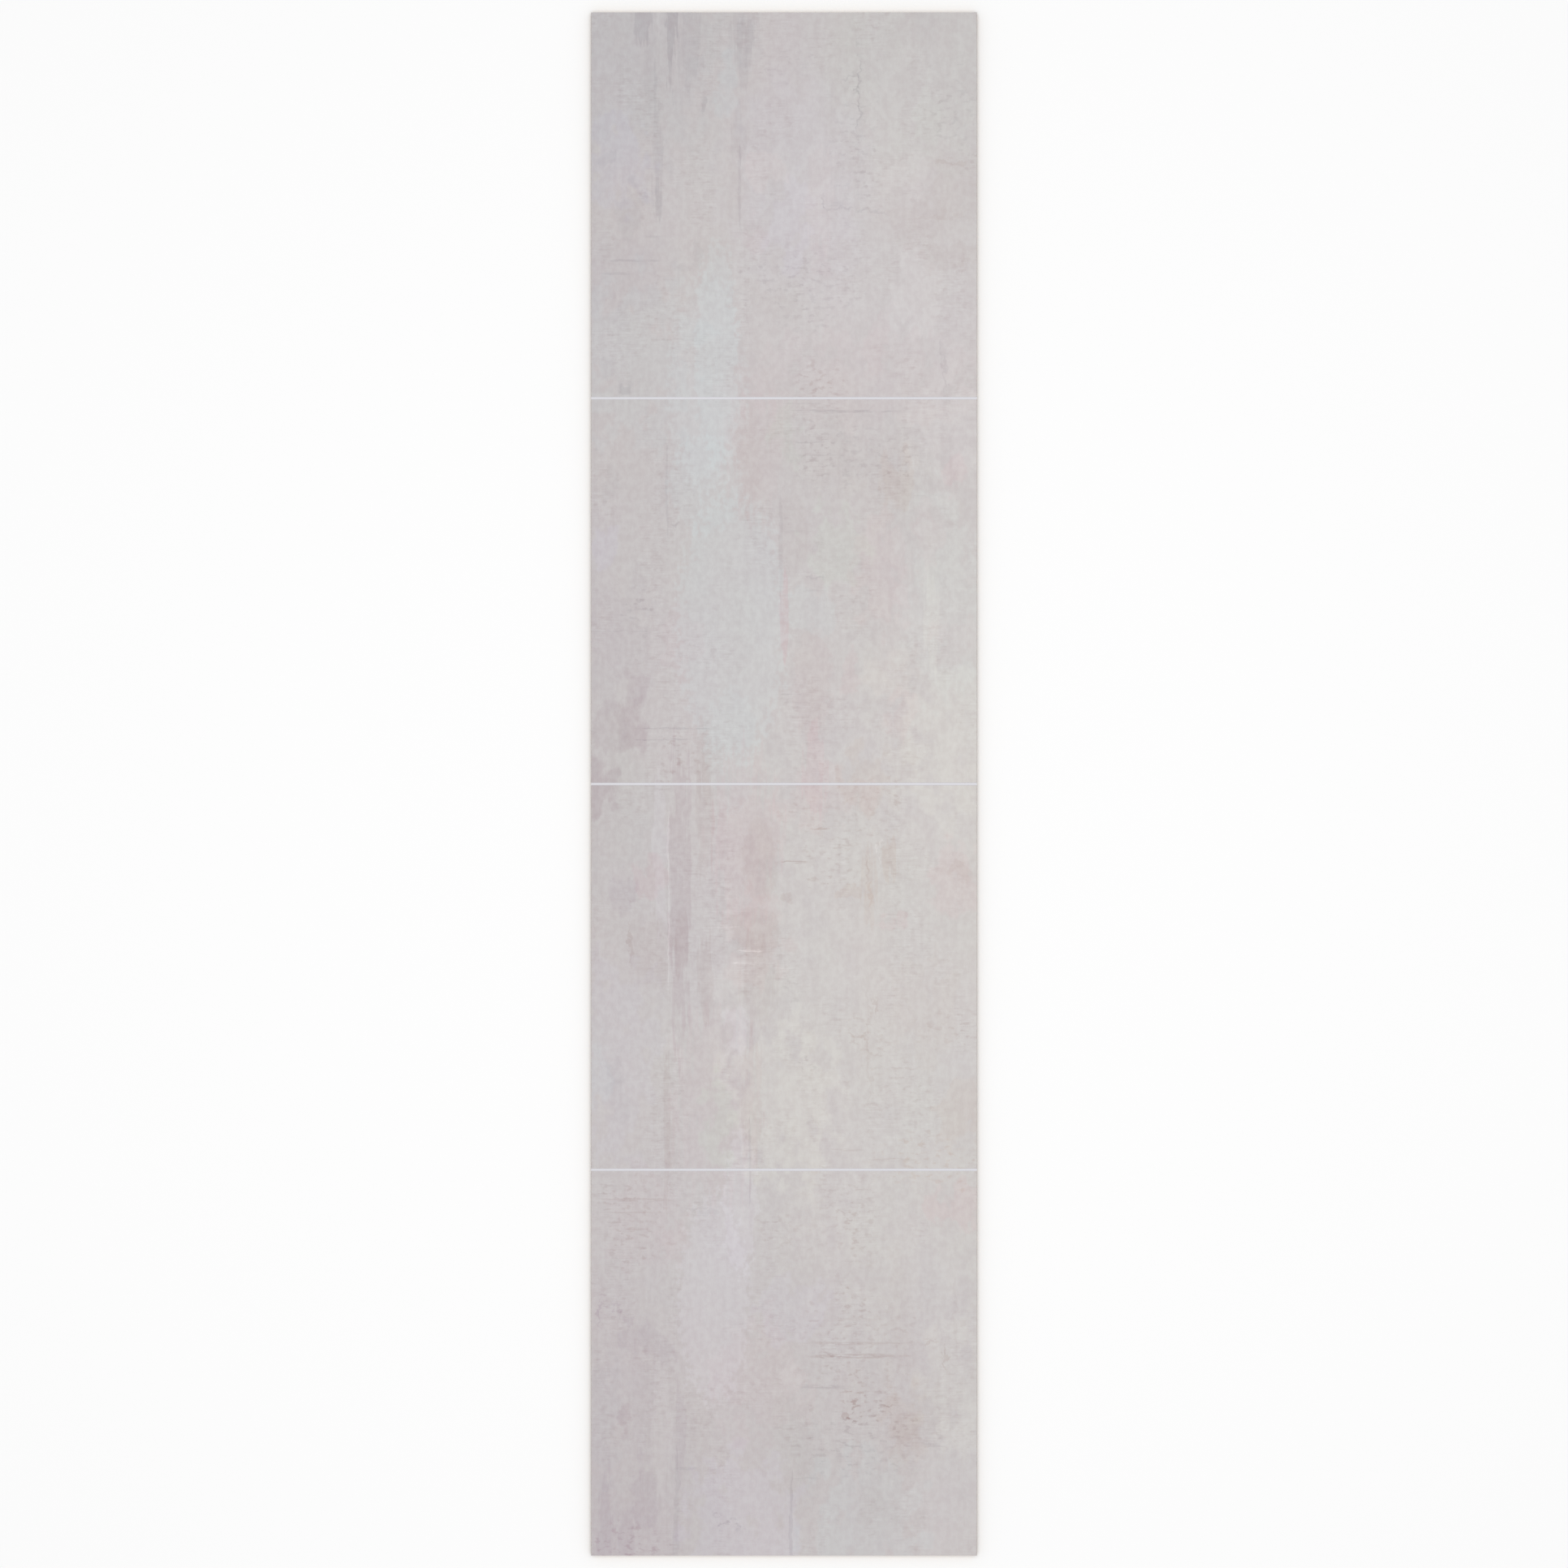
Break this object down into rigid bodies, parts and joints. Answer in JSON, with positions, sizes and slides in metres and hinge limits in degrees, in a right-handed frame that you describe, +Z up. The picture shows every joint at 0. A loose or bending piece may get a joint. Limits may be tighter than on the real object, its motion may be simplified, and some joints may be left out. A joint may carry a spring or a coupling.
{
  "type": "bathroom wall panel",
  "caption": "Flat laminated wall panel for wet rooms, with milled grooves that mark square tiles across its face and a spline slot along each long edge.",
  "frame": {"origin": "middle of the back face, with the board lying on its back", "axes": "+X across the board to its right-hand edge as seen in the picture, +Y along the board towards its top end, +Z up out of the decorative face"},
  "size_m": [0.6, 2.4, 0.011],
  "materials": {
    "laminated_board": "satin"
  },
  "bodies": {
    "root": {"wall_panel": "laminated_board"}
  },
  "joints": []
}
